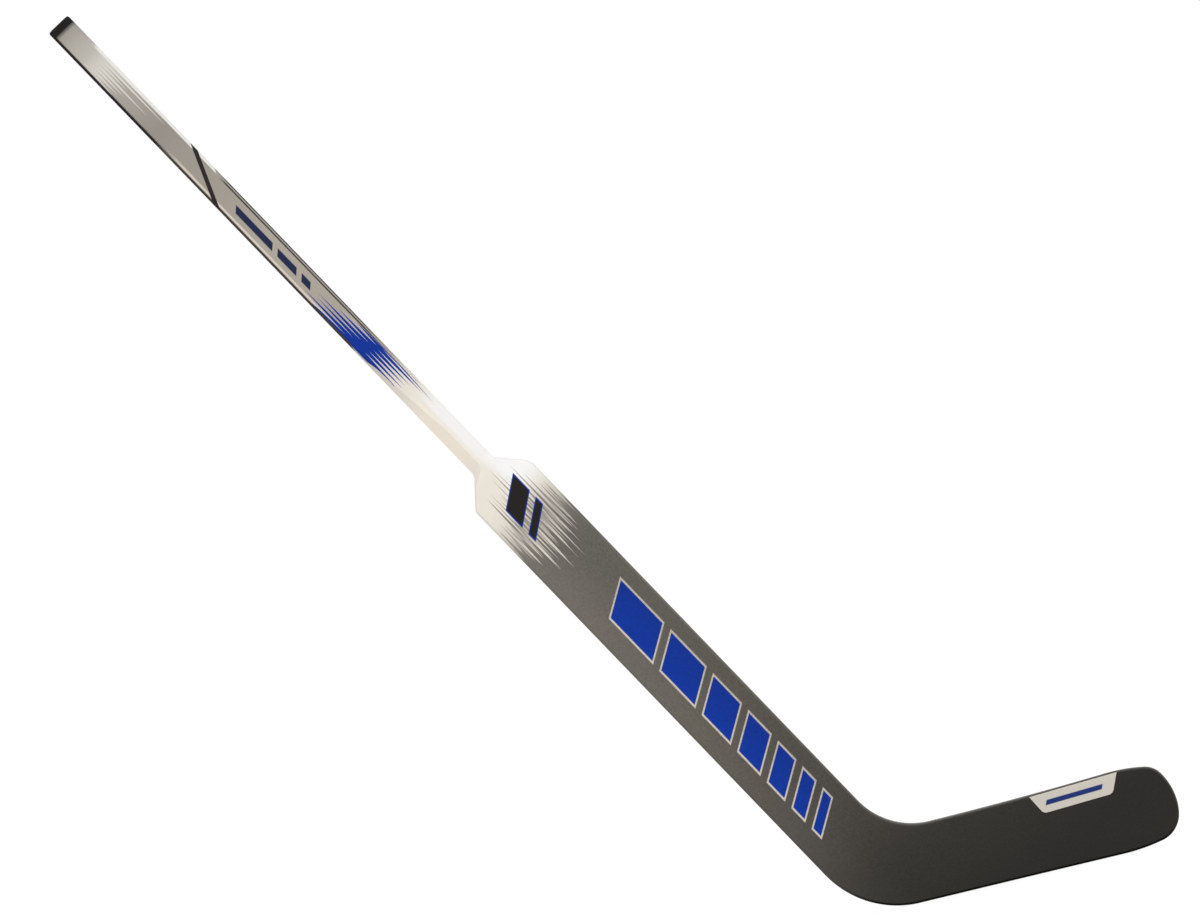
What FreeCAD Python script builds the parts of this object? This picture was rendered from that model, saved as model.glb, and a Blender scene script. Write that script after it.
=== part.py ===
import FreeCAD, Part
import math
import os

# Ice hockey goalie stick, in millimetres. The blade stands on its sole at z = 0, the toe points to +X,
# the face that meets the puck looks to -Y, and the shaft leans back to -X. The origin is on the sole,
# half way along the blade.

# The whole stick
STICK_LENGTH = 1321.0      # heel corner to the end of the butt cap, along the shaft
LIE_ANGLE = 59.7           # degrees between the sole and the shaft
SKIN_WALL = 2.0            # laminate over the paddle and blade
RIM_RADIUS = 3.6           # rounding of the paddle's and blade's edges

# Blade
BLADE_LENGTH = 363.0       # heel corner to the tip of the toe
TOE_HEIGHT = 90.5          # top of the blade where the toe starts to round
TOE_RUN = 60.0             # from the tip of the toe back to that place
TOP_SLOPE = 3.2            # degrees that the top edge climbs towards the toe, at the toe
TOP_ANGLE = 2.9            # degrees that the top edge's slow hollow turns
TOP_STRAIGHT = 4.0         # straight stretch between that hollow and the toe
CROTCH_RADIUS = 82.0       # hollow between the blade and the paddle
HEEL_RADIUS = 109.0        # round back of the heel
TOE_LOW_SWEEP_RADIUS = 214.0
TOE_LOW_SWEEP_ANGLE = 12.0
TOE_LOW_RADIUS = 32.0
TOE_LOW_ANGLE = 64.0
TOE_LOW_TIP_RADIUS = 52.0
TOE_TIP_ANGLE = 32.0       # the tip's radius fills the height between the toe's two corners
TOE_TOP_RADIUS = 24.0
TOE_TOP_ANGLE = 47.5
TOE_TOP_SWEEP_RADIUS = 178.0
TOE_THICKNESS = 9.0        # the blade thins from the paddle's thickness to this
CURVE_DEPTH = 16.0         # how far the toe bends forward
CURVE_START = -110.0       # where along the blade the bend starts

# Paddle
PADDLE_WIDTH = 82.8
PADDLE_THICKNESS = 20.0
NECK_HEIGHT = 647.0        # heel corner to the shaft's corner with the shoulders
SHOULDER_ANGLE = 41.5      # degrees between the shaft and a shoulder
SHOULDER_TOE_RADIUS = 20.0
SHOULDER_HEEL_RADIUS = 5.0
NECK_RADIUS = 8.0          # hollow between a shoulder and the shaft
NECK_STUB = 6.0            # the laminate's collar above the shoulders

# Shaft
SHAFT_WIDTH = 29.0
SHAFT_THICKNESS = 20.0
SHAFT_WALL = 2.0
SHAFT_CORNER = 1.5         # rounding of the shaft's long edges
BEVEL_WIDTH = 4.4          # front bevel, across the shaft
BEVEL_DEPTH = 3.6          # front bevel, from front to back
BACK_BEVEL = 3.0
RIDGE_WIDTH = 4.0          # flat that is left on the five-sided neck
RIDGE_DEPTH = 9.0          # its bevels, from front to back
NECK_LENGTH = 52.0         # the neck keeps five sides this far above the collar
BLEND_LENGTH = 88.0        # over which it turns into the plain shaft

# Inner pieces
SPAR_WIDTH = 19.0
SPAR_WALL = 2.0
SPAR_FOOT = 140.0          # lower end of the spar, above the heel corner
SPIGOT_GAP = 2.0           # the spar ends this far below the end of the five-sided neck
SPIGOT_CLEARANCE = 0.15    # glue line round the spar in the neck
SOLID_TOP = 25.0           # the shoulders are solid laminate this far below the collar's end
HEEL_JOINT = 175.0         # where the paddle's foam meets the heel's
BLADE_JOINT = -60.0        # where the heel's foam meets the blade's
BRIDGE_HEIGHT = 44.0       # rib between the blade's faces, above the sole
BRIDGE_THICKNESS = 2.0

# Butt plug
CAP_LENGTH = 9.0
CAP_EDGE = 2.6             # rounding of the cap's end
STEM_LENGTH = 38.0
STEM_WALL = 2.5
STEM_CLEARANCE = 0.15

# Label
LABEL_THICKNESS = 0.3
LABEL_GLUE = 0.1           # glue under the film
LABEL_TOP_LENGTH = 99.4
LABEL_BOTTOM_LENGTH = 78.6
LABEL_HEIGHT = 21.4
LABEL_TILT = 2.6           # degrees, along the top edge
LABEL_MARGIN = 1.3         # below the top edge
LABEL_FROM_TOE = 57.5      # tip of the toe to the label's upper corner
LABEL_CORNER = 4.0

# Worked out from the sizes above
MARGIN = 50.0              # how far cutting shapes reach past what they cut
TOUCH = 1e-4               # points closer than this are one point
HEEL_X = -BLADE_LENGTH / 2
TOE_X = BLADE_LENGTH / 2
NECK_END = NECK_HEIGHT + NECK_STUB
CORE_TOP = NECK_END - SOLID_TOP
BLEND_HEIGHT = NECK_END + NECK_LENGTH
TUBE_END = STICK_LENGTH - CAP_LENGTH
CURVE_RUN = TOE_X - CURVE_START

Vec = FreeCAD.Vector


def heading(degrees):
    """Unit vector in the XZ plane, turned from +X towards +Z."""
    angle = math.radians(degrees)
    return Vec(math.cos(angle), 0, math.sin(angle))


SHAFT_HEADING = 180.0 - LIE_ANGLE
ALONG = heading(SHAFT_HEADING)
ACROSS = heading(SHAFT_HEADING - 90.0)
AXIS_FOOT = Vec(HEEL_X, 0, 0) + ACROSS * (PADDLE_WIDTH / 2)


def on_stick(height, across=0.0, depth=0.0):
    """Point by its distance up the shaft from the heel, across to the toe side, and back."""
    return AXIS_FOOT + ALONG * height + ACROSS * across + Vec(0, depth, 0)


# Outline of the paddle and blade, seen from the front
def inward(line, inset):
    """A line is (point, heading); its left side is the inside of the outline."""
    point, angle = line
    return (point + heading(angle + 90.0) * inset, angle)


def solve(vector, first, second):
    """How far to go along two directions to make a vector of the XZ plane."""
    cross = first.x * second.z - first.z * second.x
    along_first = (vector.x * second.z - vector.z * second.x) / cross
    along_second = (first.x * vector.z - first.z * vector.x) / cross
    return along_first, along_second


def full_turns(line_in, line_out, arcs):
    """Arcs as (radius, signed turn); the last arc takes what is left of the corner's turn."""
    total = (line_out[1] - line_in[1] + 180.0) % 360.0 - 180.0
    side = math.copysign(1.0, total)
    turned = [(radius, side * turn) for radius, turn in arcs[:-1]]
    rest = total - sum(turn for _, turn in turned)
    return turned + [(arcs[-1], rest)]


def arc_points(start, angle, radius, turn):
    """Middle and end of an arc that leaves start along a heading."""
    side = math.copysign(1.0, turn)
    centre = start + heading(angle + 90.0 * side) * radius
    middle = centre - heading(angle + turn / 2 + 90.0 * side) * radius
    end = centre - heading(angle + turn + 90.0 * side) * radius
    return middle, end


def corner_edges(line_in, line_out, arcs, inset):
    """Start, end and edges of a corner: sharp without arcs, or rounded by tangent arcs."""
    direction_in = heading(line_in[1])
    direction_out = heading(line_out[1])
    gap = line_out[0] - line_in[0]
    corner = line_in[0] + direction_in * solve(gap, direction_in, direction_out)[0]
    if not arcs:
        return corner, corner, []
    point = Vec(0, 0, 0)
    angle = line_in[1]
    curve = []
    for radius, turn in full_turns(line_in, line_out, arcs):
        middle, end = arc_points(point, angle, radius - math.copysign(inset, turn), turn)
        curve.append((point, middle, end))
        point = end
        angle += turn
    before, after = solve(point, direction_in, direction_out)
    start = corner - direction_in * before
    edges = [Part.Arc(start + a, start + b, start + c).toShape() for a, b, c in curve]
    return start, corner + direction_out * after, edges


def outline_wire(lines, rounding, inset=0.0):
    """Closed wire through lines in turn, with one list of arcs for each corner."""
    next_lines = lines[1:] + lines[:1]
    corners = [corner_edges(a, b, arcs, inset) for a, b, arcs in zip(lines, next_lines, rounding)]
    edges = []
    last_end = corners[-1][1]
    for start, end, arcs in corners:
        if start.distanceToPoint(last_end) > TOUCH:
            edges.append(Part.LineSegment(last_end, start).toShape())
        edges.extend(arcs)
        last_end = end
    return Part.Wire(edges)


def blade_top(x):
    """Height of the top edge's straight tangent at the toe."""
    return TOE_HEIGHT + (x - (TOE_X - TOE_RUN)) * math.tan(math.radians(TOP_SLOPE))


def toe_top_arcs(tip_line, top_line, tip_foot):
    """Arcs of the toe's upper corner; the tip's arc starts where the lower corner ends."""
    def arcs_for(tip_radius):
        return [(tip_radius, TOE_TIP_ANGLE), (TOE_TOP_RADIUS, TOE_TOP_ANGLE), TOE_TOP_SWEEP_RADIUS]

    trial = TOE_TOP_RADIUS
    single = corner_edges(tip_line, top_line, arcs_for(trial), 0.0)[0]
    double = corner_edges(tip_line, top_line, arcs_for(2 * trial), 0.0)[0]
    return arcs_for(trial * (1 + (single.z - tip_foot.z) / (single.z - double.z)))


def body_outline(inset):
    """Closed wire of the paddle and blade; the neck's end stays where it is."""
    half_shaft = SHAFT_WIDTH / 2
    half_paddle = PADDLE_WIDTH / 2
    up = SHAFT_HEADING
    down = SHAFT_HEADING + 180.0
    lines = [
        (Vec(HEEL_X, 0, 0), 0.0),
        (Vec(TOE_X, 0, 0), 90.0),
        (Vec(TOE_X, 0, blade_top(TOE_X)), 180.0 + TOP_SLOPE),
        (on_stick(0, half_paddle), up),
        (on_stick(NECK_HEIGHT, half_shaft), up + SHOULDER_ANGLE),
        (on_stick(NECK_HEIGHT, half_shaft), up),
        (on_stick(NECK_END, 0), up + 90.0),
        (on_stick(NECK_HEIGHT, -half_shaft), down),
        (on_stick(NECK_HEIGHT, -half_shaft), down - SHOULDER_ANGLE),
        (on_stick(0, -half_paddle), down),
    ]
    neck_end = 6
    toe_low = [(TOE_LOW_SWEEP_RADIUS, TOE_LOW_SWEEP_ANGLE), (TOE_LOW_RADIUS, TOE_LOW_ANGLE), TOE_LOW_TIP_RADIUS]
    tip_foot = corner_edges(lines[0], lines[1], toe_low, 0.0)[1]
    toe_top = toe_top_arcs(lines[1], lines[2], tip_foot)
    toe_end = corner_edges(lines[1], lines[2], toe_top, 0.0)[1]
    crotch_start = corner_edges(lines[2], lines[3], [CROTCH_RADIUS], 0.0)[0]
    top_radius = (toe_end.distanceToPoint(crotch_start) - TOP_STRAIGHT) / math.radians(TOP_ANGLE)
    rounding = [
        toe_low,
        toe_top,
        [(top_radius, TOP_ANGLE), CROTCH_RADIUS],
        [SHOULDER_TOE_RADIUS],
        [NECK_RADIUS],
        [],
        [],
        [NECK_RADIUS],
        [SHOULDER_HEEL_RADIUS],
        [HEEL_RADIUS],
    ]
    inset_lines = [line if i == neck_end else inward(line, inset) for i, line in enumerate(lines)]
    return outline_wire(inset_lines, rounding, inset)


def front_prism(wire):
    """Solid that a flat outline of the XZ plane sweeps from front to back."""
    face = Part.Face(wire)
    face.translate(Vec(0, -STICK_LENGTH / 2, 0))
    return face.extrude(Vec(0, STICK_LENGTH, 0))


# Front and back faces, seen from above
FRONT_BEND = CURVE_DEPTH + (TOE_THICKNESS - PADDLE_THICKNESS) / 2
BACK_BEND = CURVE_DEPTH - (TOE_THICKNESS - PADDLE_THICKNESS) / 2


def bend_radius(bend):
    """Radius of an arc that leaves its tangent by this much at the toe."""
    return (CURVE_RUN ** 2 + bend ** 2) / (2 * bend)


def face_edges(depth, radius):
    """Trace of a face: straight along the paddle, then an arc about a centre in front of it."""
    far_left = Vec(on_stick(NECK_END).x - MARGIN - PADDLE_WIDTH, depth, 0)
    bend_start = Vec(CURVE_START, depth, 0)
    points = [bend_start]
    for x in ((CURVE_START + TOE_X + MARGIN) / 2, TOE_X + MARGIN):
        drop = radius - math.sqrt(radius ** 2 - (x - CURVE_START) ** 2)
        points.append(Vec(x, depth - drop, 0))
    return [Part.LineSegment(far_left, bend_start).toShape(), Part.Arc(*points).toShape()]


def slab_between(front, back):
    """Solid between two traces, as tall as the stick."""
    left = Part.LineSegment(front[0].firstVertex().Point, back[0].firstVertex().Point).toShape()
    right = Part.LineSegment(front[1].lastVertex().Point, back[1].lastVertex().Point).toShape()
    wire = Part.Wire(Part.__sortEdges__(front + back + [left, right]))
    face = Part.Face(wire)
    face.translate(Vec(0, 0, -MARGIN))
    return face.extrude(Vec(0, 0, STICK_LENGTH))


def front_trace(inset):
    return face_edges(inset - PADDLE_THICKNESS / 2, bend_radius(FRONT_BEND) + inset)


def back_trace(inset):
    return face_edges(PADDLE_THICKNESS / 2 - inset, bend_radius(BACK_BEND) - inset)


def middle_trace():
    return face_edges(0.0, bend_radius(CURVE_DEPTH))


def front_half():
    """Everything in front of the seam between the two skins."""
    return slab_between(front_trace(-MARGIN), middle_trace())


def rim_edges(solid):
    """Edges round the front and back faces, without the neck's end and the line where the bend starts."""
    edges = []
    for edge in solid.Edges:
        box = edge.BoundBox
        middle = edge.valueAt((edge.FirstParameter + edge.LastParameter) / 2)
        at_neck_end = (middle - AXIS_FOOT).dot(ALONG) > NECK_END - TOUCH
        on_side_wall = box.YLength > max(box.XLength, box.ZLength)
        at_bend_start = max(box.XLength, abs(middle.x - CURVE_START)) < TOUCH
        if not (at_neck_end or on_side_wall or at_bend_start):
            edges.append(edge)
    return edges


def paddle_and_blade(inset):
    """The paddle and blade in one solid, its surface moved inwards by the inset."""
    slab = slab_between(front_trace(inset), back_trace(inset))
    solid = front_prism(body_outline(inset)).common(slab).Solids[0]
    return solid.makeFillet(RIM_RADIUS - inset, rim_edges(solid))


# Shaft sections, as (across, back) points
def shaft_section(bevel_width, bevel_depth):
    """Corners of the shaft's section, round from the front face."""
    half_width = SHAFT_WIDTH / 2
    half_depth = SHAFT_THICKNESS / 2
    right = [
        (half_width - bevel_width, -half_depth),
        (half_width, bevel_depth - half_depth),
        (half_width, half_depth - BACK_BEVEL),
        (half_width - BACK_BEVEL, half_depth),
    ]
    left = [(-across, depth) for across, depth in reversed(right)]
    return right + left


def plain_section():
    return shaft_section(BEVEL_WIDTH, BEVEL_DEPTH)


def neck_section():
    return shaft_section((SHAFT_WIDTH - RIDGE_WIDTH) / 2, RIDGE_DEPTH)


def inset_section(corners, inset):
    """Section with each side moved inwards by the inset."""
    moved = []
    count = len(corners)
    for i in range(count):
        ax, ay = corners[i - 1]
        bx, by = corners[i]
        cx, cy = corners[(i + 1) % count]
        in_length = math.hypot(bx - ax, by - ay)
        out_length = math.hypot(cx - bx, cy - by)
        in_x, in_y = (bx - ax) / in_length, (by - ay) / in_length
        out_x, out_y = (cx - bx) / out_length, (cy - by) / out_length
        share = inset / (1 + in_x * out_x + in_y * out_y)
        moved.append((bx - (in_y + out_y) * share, by + (in_x + out_x) * share))
    return moved


def section_wire(corners, height, radius=0.0):
    """Section across the shaft at a height, its corners rounded where a radius is given."""
    points = [on_stick(height, across, depth) for across, depth in corners]
    if not radius:
        return Part.makePolygon(points + points[:1])
    edges = []
    stations = []
    count = len(points)
    for i in range(count):
        to_last = (points[i - 1] - points[i]).normalize()
        to_next = (points[(i + 1) % count] - points[i]).normalize()
        half_angle = to_last.getAngle(to_next) / 2
        setback = radius / math.tan(half_angle)
        inwards = (to_last + to_next).normalize()
        middle = points[i] + inwards * (radius / math.sin(half_angle) - radius)
        stations.append((points[i] + to_last * setback, middle, points[i] + to_next * setback))
    for i, (start, middle, end) in enumerate(stations):
        edges.append(Part.Arc(start, middle, end).toShape())
        edges.append(Part.LineSegment(end, stations[(i + 1) % count][0]).toShape())
    return Part.Wire(edges)


def section_loft(stations, radius=0.0):
    """Solid through (section, height) stations, straight from one to the next."""
    wires = [section_wire(corners, height, radius) for corners, height in stations]
    return Part.makeLoft(wires, True, True)


# Pieces
def make_shaft_tube():
    """Hollow tube that turns from the plain section to the five-sided neck; open at both ends."""
    blend_end = BLEND_HEIGHT + BLEND_LENGTH
    stations = [
        (neck_section(), NECK_END),
        (neck_section(), BLEND_HEIGHT),
        (plain_section(), blend_end),
        (plain_section(), TUBE_END),
    ]
    outside = section_loft(stations, SHAFT_CORNER)
    heights = [NECK_END - MARGIN, BLEND_HEIGHT, blend_end, TUBE_END + MARGIN]
    bore = [(inset_section(corners, SHAFT_WALL), height) for (corners, _), height in zip(stations, heights)]
    return outside.cut(section_loft(bore))


def make_butt_plug():
    """Cap as wide as the shaft, with a hollow stem that slides into the tube."""
    cap = section_loft([(plain_section(), TUBE_END), (plain_section(), STICK_LENGTH)], SHAFT_CORNER)
    end_edges = []
    for edge in cap.Edges:
        lowest = min((vertex.Point - AXIS_FOOT).dot(ALONG) for vertex in edge.Vertexes)
        if lowest > TUBE_END + CAP_LENGTH / 2:
            end_edges.append(edge)
    cap = cap.makeFillet(CAP_EDGE, end_edges)
    stem_section = inset_section(plain_section(), SHAFT_WALL + STEM_CLEARANCE)
    stem_foot = TUBE_END - STEM_LENGTH
    stem = section_loft([(stem_section, stem_foot), (stem_section, TUBE_END)])
    stem_inset = 2 * (SHAFT_WALL + STEM_CLEARANCE + STEM_WALL)
    hollow = stick_box(stem_foot - MARGIN, TUBE_END, SHAFT_WIDTH - stem_inset, SHAFT_THICKNESS - stem_inset)
    return cap.fuse(stem.cut(hollow)).removeSplitter()


def stick_box(low, high, width, depth):
    """Box along the shaft's axis, centred on it."""
    half_width = width / 2
    half_depth = depth / 2
    corners = [
        (-half_width, -half_depth),
        (half_width, -half_depth),
        (half_width, half_depth),
        (-half_width, half_depth),
    ]
    return section_loft([(corners, low), (corners, high)])


def paddle_box(low, width):
    """Box along the shaft's axis from a height to the top of the foam."""
    return stick_box(low, CORE_TOP, width, STICK_LENGTH)


def spigot_loft(inset, top):
    """Five-sided spigot from the top of the foam, through the shoulders into the bore of the neck."""
    section = inset_section(neck_section(), SHAFT_WALL + SPIGOT_CLEARANCE + inset)
    return section_loft([(section, CORE_TOP), (section, top)])


def make_paddle_spar(core):
    """Box spar between the paddle's faces, with a hollow spigot at its top."""
    spigot_top = BLEND_HEIGHT - SPIGOT_GAP
    hollow_depth = PADDLE_THICKNESS - 2 * (SKIN_WALL + SPAR_WALL)
    hollow = stick_box(SPAR_FOOT - MARGIN, CORE_TOP, SPAR_WIDTH - 2 * SPAR_WALL, hollow_depth)
    in_paddle = core.common(paddle_box(SPAR_FOOT, SPAR_WIDTH)).cut(hollow)
    spigot = spigot_loft(0.0, spigot_top).cut(spigot_loft(SPAR_WALL, spigot_top + MARGIN))
    return in_paddle.fuse(spigot).removeSplitter()


def make_paddle_cores(core):
    """Foam on both sides of the spar, heel side first."""
    foam = core.common(paddle_box(HEEL_JOINT, 2 * PADDLE_WIDTH)).cut(paddle_box(SPAR_FOOT, SPAR_WIDTH))
    return sorted(foam.Solids, key=lambda solid: (solid.CenterOfMass - AXIS_FOOT).dot(ACROSS))


def blade_box(low, high):
    """Box over the blade ahead of the heel's foam, between two heights."""
    box = Part.makeBox(TOE_X - BLADE_JOINT + MARGIN, STICK_LENGTH, high - low)
    box.translate(Vec(BLADE_JOINT, -STICK_LENGTH / 2, low))
    return box


def make_heel_core(core):
    """Foam between the paddle and the blade, with a pocket for the spar's foot."""
    foam = core.cut(paddle_box(HEEL_JOINT, 2 * PADDLE_WIDTH)).cut(blade_box(-MARGIN, STICK_LENGTH))
    return foam.cut(paddle_box(SPAR_FOOT, SPAR_WIDTH))


def make_blade_pieces(core):
    """Lower foam, bridge and upper foam of the blade."""
    bridge_low = BRIDGE_HEIGHT - BRIDGE_THICKNESS / 2
    bridge_high = BRIDGE_HEIGHT + BRIDGE_THICKNESS / 2
    levels = [-MARGIN, bridge_low, bridge_high, TOE_HEIGHT + MARGIN]
    return [core.common(blade_box(low, high)) for low, high in zip(levels[:-1], levels[1:])]


def label_outline():
    """Trapezoid under the top edge, with its lower corners rounded."""
    tilt = LABEL_TILT
    side_step = (LABEL_TOP_LENGTH - LABEL_BOTTOM_LENGTH) / 2
    side_angle = math.degrees(math.atan2(LABEL_HEIGHT, side_step))
    top_x = TOE_X - LABEL_FROM_TOE
    top_right = Vec(top_x, 0, blade_top(top_x) - LABEL_MARGIN)
    top_left = top_right - heading(tilt) * LABEL_TOP_LENGTH
    bottom_left = top_left + heading(tilt - side_angle) * math.hypot(LABEL_HEIGHT, side_step)
    lines = [
        (bottom_left, tilt),
        (top_right, tilt + side_angle),
        (top_right, tilt + 180.0),
        (top_left, tilt - side_angle),
    ]
    rounding = [[LABEL_CORNER], [], [], [LABEL_CORNER]]
    return outline_wire(lines, rounding)


def make_label():
    """Film on the blade's front face that follows the rounded top edge."""
    film = paddle_and_blade(-LABEL_GLUE - LABEL_THICKNESS).cut(paddle_and_blade(-LABEL_GLUE))
    return film.common(front_prism(label_outline())).common(front_half())


def make_pieces():
    """Every piece by its node's name."""
    body = paddle_and_blade(0.0)
    shoulders = stick_box(CORE_TOP, NECK_END + MARGIN, 2 * PADDLE_WIDTH, STICK_LENGTH)
    core = paddle_and_blade(SKIN_WALL).cut(shoulders)
    shell = body.cut(core).cut(spigot_loft(0.0, NECK_END + MARGIN))
    half = front_half()
    heel_side, toe_side = make_paddle_cores(core)
    lower, bridge, upper = make_blade_pieces(core)
    return {
        "shaft_tube": make_shaft_tube(),
        "butt_plug": make_butt_plug(),
        "front_skin": shell.common(half),
        "back_skin": shell.cut(half),
        "paddle_spar": make_paddle_spar(core),
        "paddle_core_heel_side": heel_side,
        "paddle_core_toe_side": toe_side,
        "heel_core": make_heel_core(core),
        "blade_core_lower": lower,
        "blade_bridge": bridge,
        "blade_core_upper": upper,
        "blade_label": make_label(),
    }


def main():
    os.makedirs("parts", exist_ok=True)
    for name, shape in make_pieces().items():
        solids = shape.Solids
        piece = solids[0] if len(solids) == 1 else Part.makeCompound(solids)
        print(name, len(solids), "solid", round(piece.Volume / 1000, 2), "cm3", piece.isValid())
        piece.exportStep(os.path.join("parts", name + ".step"))


main()
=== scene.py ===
import math

import bmesh
import bpy
from mathutils import Matrix, Vector


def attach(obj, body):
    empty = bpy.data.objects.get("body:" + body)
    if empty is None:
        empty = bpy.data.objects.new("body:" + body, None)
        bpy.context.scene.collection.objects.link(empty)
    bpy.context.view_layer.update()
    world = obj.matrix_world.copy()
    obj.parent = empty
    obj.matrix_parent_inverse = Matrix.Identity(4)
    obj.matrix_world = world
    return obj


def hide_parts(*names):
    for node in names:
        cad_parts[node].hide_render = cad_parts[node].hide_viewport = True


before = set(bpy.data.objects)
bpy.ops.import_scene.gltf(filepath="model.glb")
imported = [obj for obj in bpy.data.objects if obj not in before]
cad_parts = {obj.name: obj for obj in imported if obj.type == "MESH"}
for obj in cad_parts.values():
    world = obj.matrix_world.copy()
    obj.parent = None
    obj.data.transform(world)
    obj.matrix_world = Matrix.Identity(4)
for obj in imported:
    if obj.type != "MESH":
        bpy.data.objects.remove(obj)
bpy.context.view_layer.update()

# Sizes of the stick in millimetres, as in the construction; Blender's own unit is the metre.
MM = 0.001
STICK_LENGTH = 1321.0
LIE_ANGLE = 59.7
RIM_RADIUS = 3.6

BLADE_LENGTH = 363.0
CROTCH_RADIUS = 82.0
HEEL_RADIUS = 109.0
TOP_ANGLE = 2.9
TOE_LOW_SWEEP = (214.0, 12.0)   # the toe's arcs, each as radius and turn in degrees
TOE_LOW_ROUND = (32.0, 64.0)
TOE_LOW_TIP = (52.0, 14.0)
TOE_TOP_SWEEP = (178.0, 13.7)
TOE_TOP_ROUND = (24.0, 47.5)
TOE_TOP_TIP = (68.2, 32.0)
TOE_THICKNESS = 9.0
CURVE_DEPTH = 16.0
CURVE_START = -110.0

PADDLE_WIDTH = 82.8
PADDLE_THICKNESS = 20.0
NECK_HEIGHT = 647.0
SHOULDER_ANGLE = 41.5
SHOULDER_TOE_RADIUS = 20.0
SHOULDER_HEEL_RADIUS = 5.0
NECK_RADIUS = 8.0
SEAM_HEIGHT = 600.0        # where the paddle's slab takes over from the neck's loft

SHAFT_WIDTH = 29.0
SHAFT_THICKNESS = 20.0
SHAFT_WALL = 2.0
SHAFT_CORNER = 1.5
BEVEL_WIDTH = 4.4
BEVEL_DEPTH = 3.6
BACK_BEVEL = 3.0
RIDGE_WIDTH = 4.0
RIDGE_DEPTH = 9.0
BLEND_HEIGHT = 705.0
BLEND_LENGTH = 88.0
RIDGE_FADE_TOP = 652.0     # the neck's ridge runs out into the paddle from here
RIDGE_FADE_FOOT = 636.0    # to here

CAP_LENGTH = 9.0
CAP_EDGE = 2.6
STEM_LENGTH = 38.0
STEM_WALL = 2.5
STEM_CLEARANCE = 0.15
BORE_DEPTH = 160.0         # how deep the tube's bore is drawn

LABEL_THICKNESS = 0.3
LABEL_TOP_LENGTH = 99.4
LABEL_BOTTOM_LENGTH = 78.6
LABEL_HEIGHT = 21.4
LABEL_TILT = 2.6
LABEL_CORNER = 4.0
LABEL_TOP_RIGHT = (124.0, 89.3)

TOE_X = BLADE_LENGTH / 2
TUBE_END = STICK_LENGTH - CAP_LENGTH
HALF_PADDLE = PADDLE_WIDTH / 2
HALF_SHAFT = SHAFT_WIDTH / 2


def heading(degrees):
    """Direction in the XZ plane, turned from +X towards +Z."""
    angle = math.radians(degrees)
    return Vector((math.cos(angle), 0.0, math.sin(angle)))


ALONG = heading(180.0 - LIE_ANGLE)
ACROSS = heading(90.0 - LIE_ANGLE)
DEPTH = Vector((0.0, 1.0, 0.0))
AXIS_FOOT = Vector((-BLADE_LENGTH / 2, 0.0, 0.0)) + ACROSS * HALF_PADDLE


def on_stick(height, across=0.0, depth=0.0):
    """Point by its distance up the shaft from the heel, across to the toe side, and back."""
    return AXIS_FOOT + ALONG * height + ACROSS * across + DEPTH * depth


def smooth(value, low, high):
    """0 below low, 1 above high, with soft ends."""
    share = min(max((value - low) / (high - low), 0.0), 1.0)
    return share * share * (3.0 - 2.0 * share)


def mix(a, b, share):
    return a + (b - a) * share


# Shaping tools
WELD = 0.001               # points closer than this become one
TOUCH = 0.1                # points closer than this to a plane count as on it
SMOOTH_ANGLE = 50.0        # degrees; edges sharper than this stay sharp


def lay_points(name, points):
    """Names the primitive just added and lays its points on the given ones, in millimetres."""
    piece = bpy.context.active_object
    piece.name = name
    piece.data.name = name
    for vertex, point in zip(piece.data.vertices, points):
        vertex.co = point * MM
    return piece


def new_grid(name, rows):
    """A grid laid on rows of points."""
    steps_along = len(rows[0]) - 1
    steps_up = len(rows) - 1
    bpy.ops.object.select_all(action="DESELECT")
    bpy.ops.mesh.primitive_grid_add(x_subdivisions=steps_along, y_subdivisions=steps_up, size=1.0)
    return lay_points(name, [point for row in rows for point in row])


def new_disc(name, outline):
    """A filled circle laid on a closed outline."""
    bpy.ops.object.select_all(action="DESELECT")
    bpy.ops.mesh.primitive_circle_add(vertices=len(outline), fill_type="NGON")
    return lay_points(name, outline)


def edit(piece):
    """Edit mode on one piece, with nothing selected in it."""
    bpy.context.view_layer.objects.active = piece
    bpy.ops.object.mode_set(mode="EDIT")
    bpy.ops.mesh.select_mode(type="VERT")
    bpy.ops.mesh.select_all(action="DESELECT")
    return bmesh.from_edit_mesh(piece.data)


def apply_modifier(piece, kind, **settings):
    """Adds a modifier and applies it at once."""
    modifier = piece.modifiers.new(kind.title(), kind)
    for name, value in settings.items():
        setattr(modifier, name, value)
    bpy.context.view_layer.objects.active = piece
    bpy.ops.object.modifier_apply(modifier=modifier.name)


def finish_piece(piece, material, body, slot, *nodes):
    """Places the piece at the origin, shades it, gives it its material, puts it on its body and hides the
    nodes it stands in for.
    """
    bpy.ops.object.select_all(action="DESELECT")
    piece.select_set(True)
    bpy.context.view_layer.objects.active = piece
    bpy.ops.object.transform_apply(location=True, rotation=True, scale=True)
    bpy.ops.object.shade_smooth_by_angle(angle=math.radians(SMOOTH_ANGLE))
    apply_modifier(piece, "WEIGHTED_NORMAL", keep_sharp=True)
    piece.data.materials.clear()
    piece.data.materials.append(material)
    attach(piece, body)
    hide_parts(*nodes)


def wrap_tube(name, rings):
    """Tube through rings of equally many points, closed round and capped at both ends."""
    piece = new_grid(name, [ring + ring[:1] for ring in rings])
    edit(piece)
    bpy.ops.mesh.select_all(action="SELECT")
    bpy.ops.mesh.remove_doubles(threshold=WELD * MM)
    bpy.ops.mesh.select_all(action="DESELECT")
    bpy.ops.mesh.select_non_manifold(extend=False)
    bpy.ops.mesh.fill_holes(sides=0)
    bpy.ops.mesh.select_all(action="SELECT")
    bpy.ops.mesh.normals_make_consistent(inside=False)
    bpy.ops.object.mode_set(mode="OBJECT")
    return piece


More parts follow.
